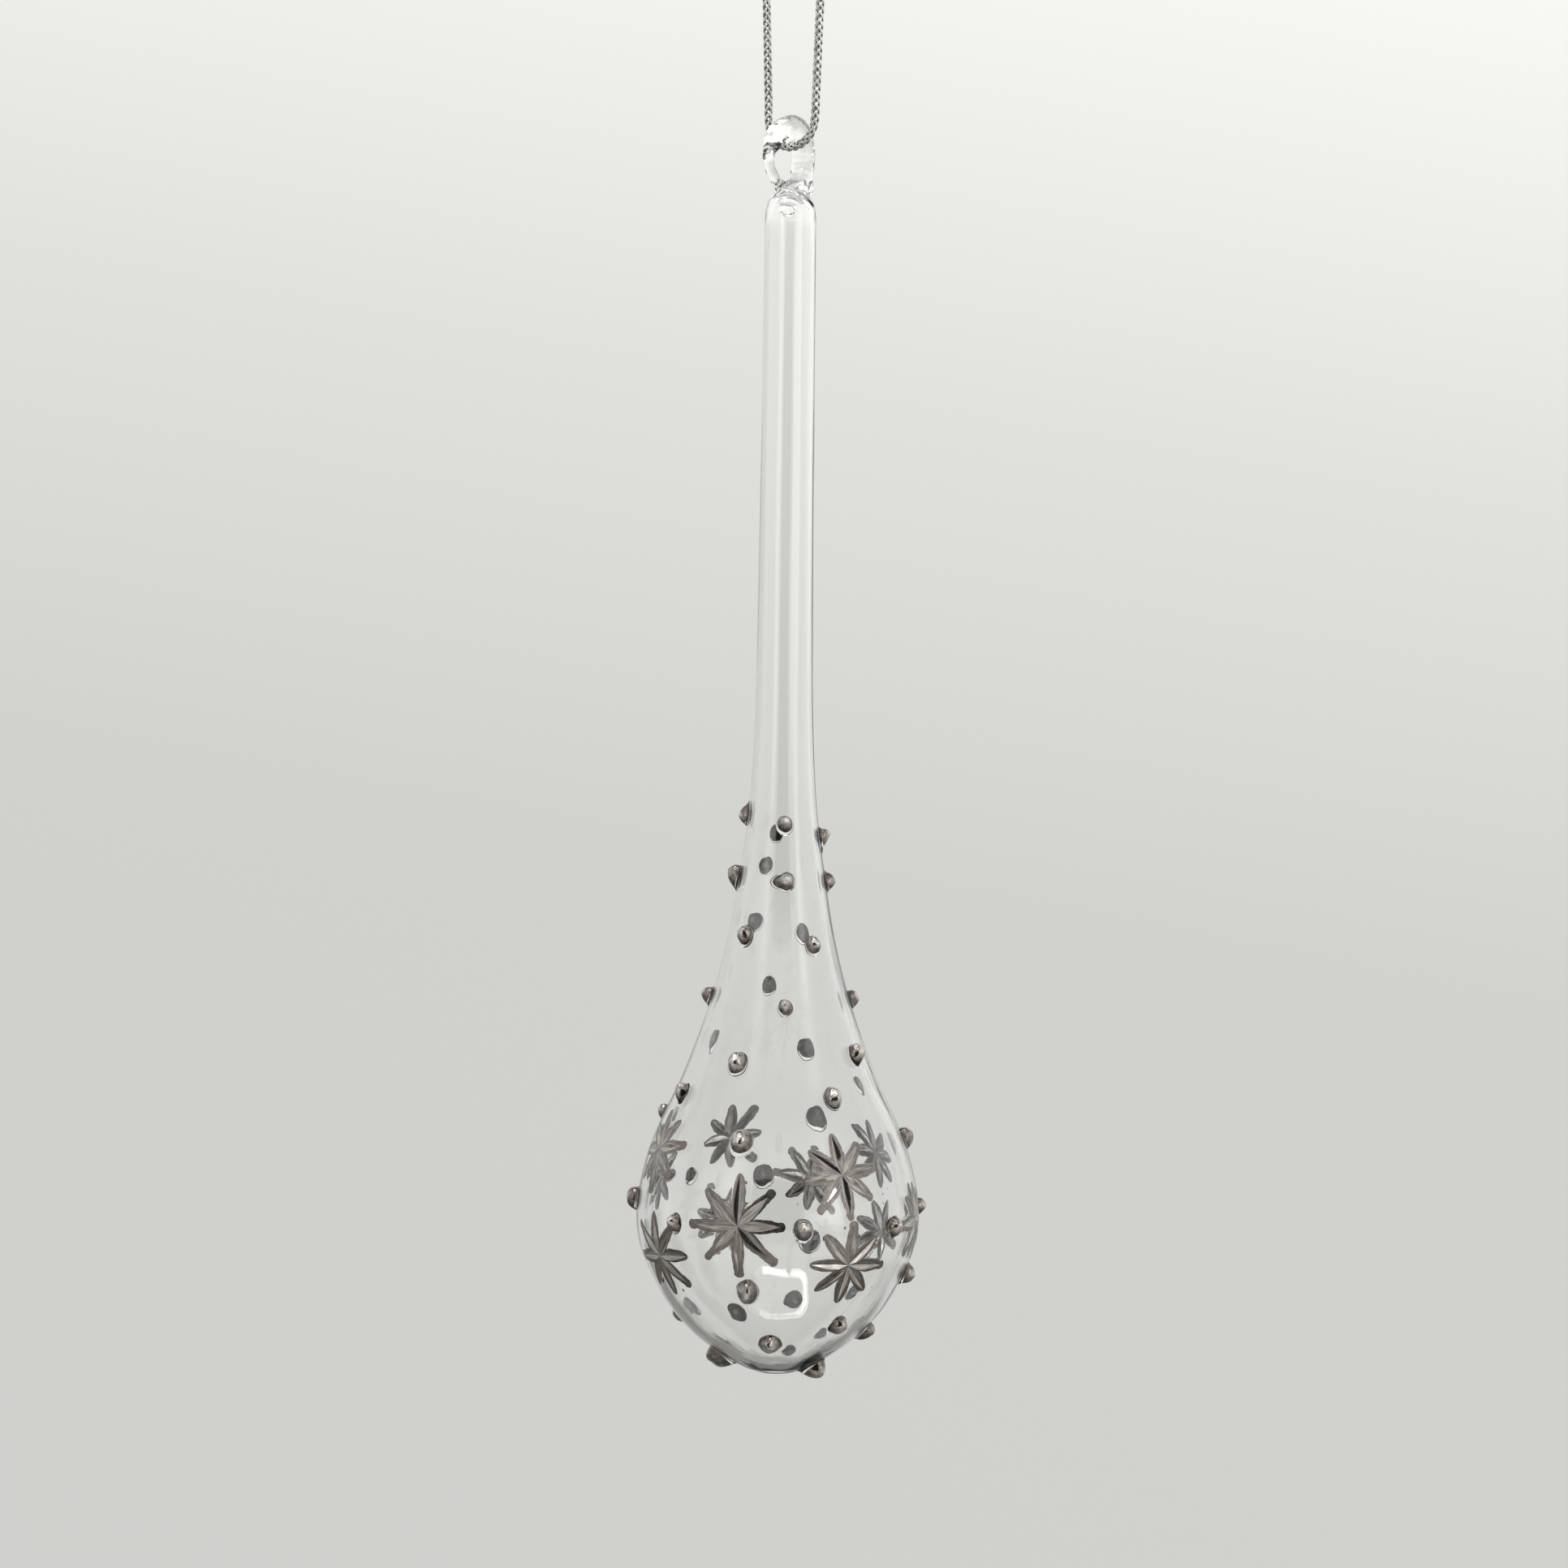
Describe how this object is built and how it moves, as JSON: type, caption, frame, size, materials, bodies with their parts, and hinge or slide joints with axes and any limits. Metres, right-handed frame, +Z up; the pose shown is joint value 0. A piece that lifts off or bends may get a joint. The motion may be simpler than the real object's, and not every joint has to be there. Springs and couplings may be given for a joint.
{
  "type": "icicle hanging ornament",
  "caption": "Long-stemmed hollow clear glass icicle drop with platinum-tipped nubs and wheel-cut platinum stars, hung by a glass eye on a knotted loop of braided silver cord.",
  "frame": {"origin": "the hanging point: inside the top of the cord loop, just under its knot, on the drop's axis", "axes": "+Z up along the axis of the drop and stem, -Y towards the viewer of the front, +X to the viewer's right"},
  "size_m": [0.0335, 0.0335, 0.2023],
  "materials": {
    "clear_glass": "colourless mouth-blown glass, polished, faintly grey at the edges",
    "platinum_nub": "polished",
    "platinum_star": "satin",
    "silver_braid": "metallised silver thread braided round a core, bright strands with dark gaps"
  },
  "bodies": {
    "cord_loop": {"hanging_cord": "silver_braid"},
    "cord_bight": {"cord_bight": "silver_braid"},
    "glass_ornament": {"glass_drop": "clear_glass", "glass_eye": "clear_glass", "flare_nub_01": "platinum_nub", "flare_nub_02": "platinum_nub", "flare_nub_03": "platinum_nub", "flare_nub_04": "platinum_nub", "flare_nub_05": "platinum_nub", "flare_nub_06": "platinum_nub", "flare_nub_07": "platinum_nub", "flare_nub_08": "platinum_nub", "flare_nub_09": "platinum_nub", "flare_nub_10": "platinum_nub", "flare_nub_11": "platinum_nub", "flare_nub_12": "platinum_nub", "flare_nub_13": "platinum_nub", "flare_nub_14": "platinum_nub", "flare_nub_15": "platinum_nub", "flare_nub_16": "platinum_nub", "drop_nub_01": "platinum_nub", "drop_nub_02": "platinum_nub", "drop_nub_03": "platinum_nub", "drop_nub_04": "platinum_nub", "drop_nub_05": "platinum_nub", "drop_nub_06": "platinum_nub", "drop_nub_07": "platinum_nub", "drop_nub_08": "platinum_nub", "drop_nub_09": "platinum_nub", "drop_nub_10": "platinum_nub", "drop_nub_11": "platinum_nub", "drop_nub_12": "platinum_nub", "drop_nub_13": "platinum_nub", "drop_nub_14": "platinum_nub", "drop_nub_15": "platinum_nub", "drop_nub_16": "platinum_nub", "drop_nub_17": "platinum_nub", "drop_nub_18": "platinum_nub", "drop_nub_19": "platinum_nub", "drop_nub_20": "platinum_nub", "drop_nub_21": "platinum_nub", "drop_nub_22": "platinum_nub", "drop_nub_23": "platinum_nub", "drop_nub_24": "platinum_nub", "drop_nub_25": "platinum_nub", "drop_nub_26": "platinum_nub", "drop_nub_27": "platinum_nub", "drop_nub_28": "platinum_nub", "cut_star_01": "platinum_star", "cut_star_02": "platinum_star", "cut_star_03": "platinum_star", "cut_star_04": "platinum_star", "cut_star_05": "platinum_star", "cut_star_06": "platinum_star", "cut_star_07": "platinum_star", "cut_star_08": "platinum_star", "cut_star_09": "platinum_star", "cut_star_10": "platinum_star", "cut_star_11": "platinum_star", "cut_star_12": "platinum_star"}
  },
  "joints": [
    {"name": "drop_spin", "type": "hinge", "parent": "cord_loop", "child": "cord_bight", "pos_m": [0, 0, -0.05], "axis": [0, 0, 1], "range_deg": [-170, 170]},
    {"name": "drop_swing", "type": "hinge", "parent": "cord_bight", "child": "glass_ornament", "pos_m": [0, 0, -0.0577], "axis": [0.8192, -0.5736, 0], "range_deg": [-75, 75]}
  ]
}
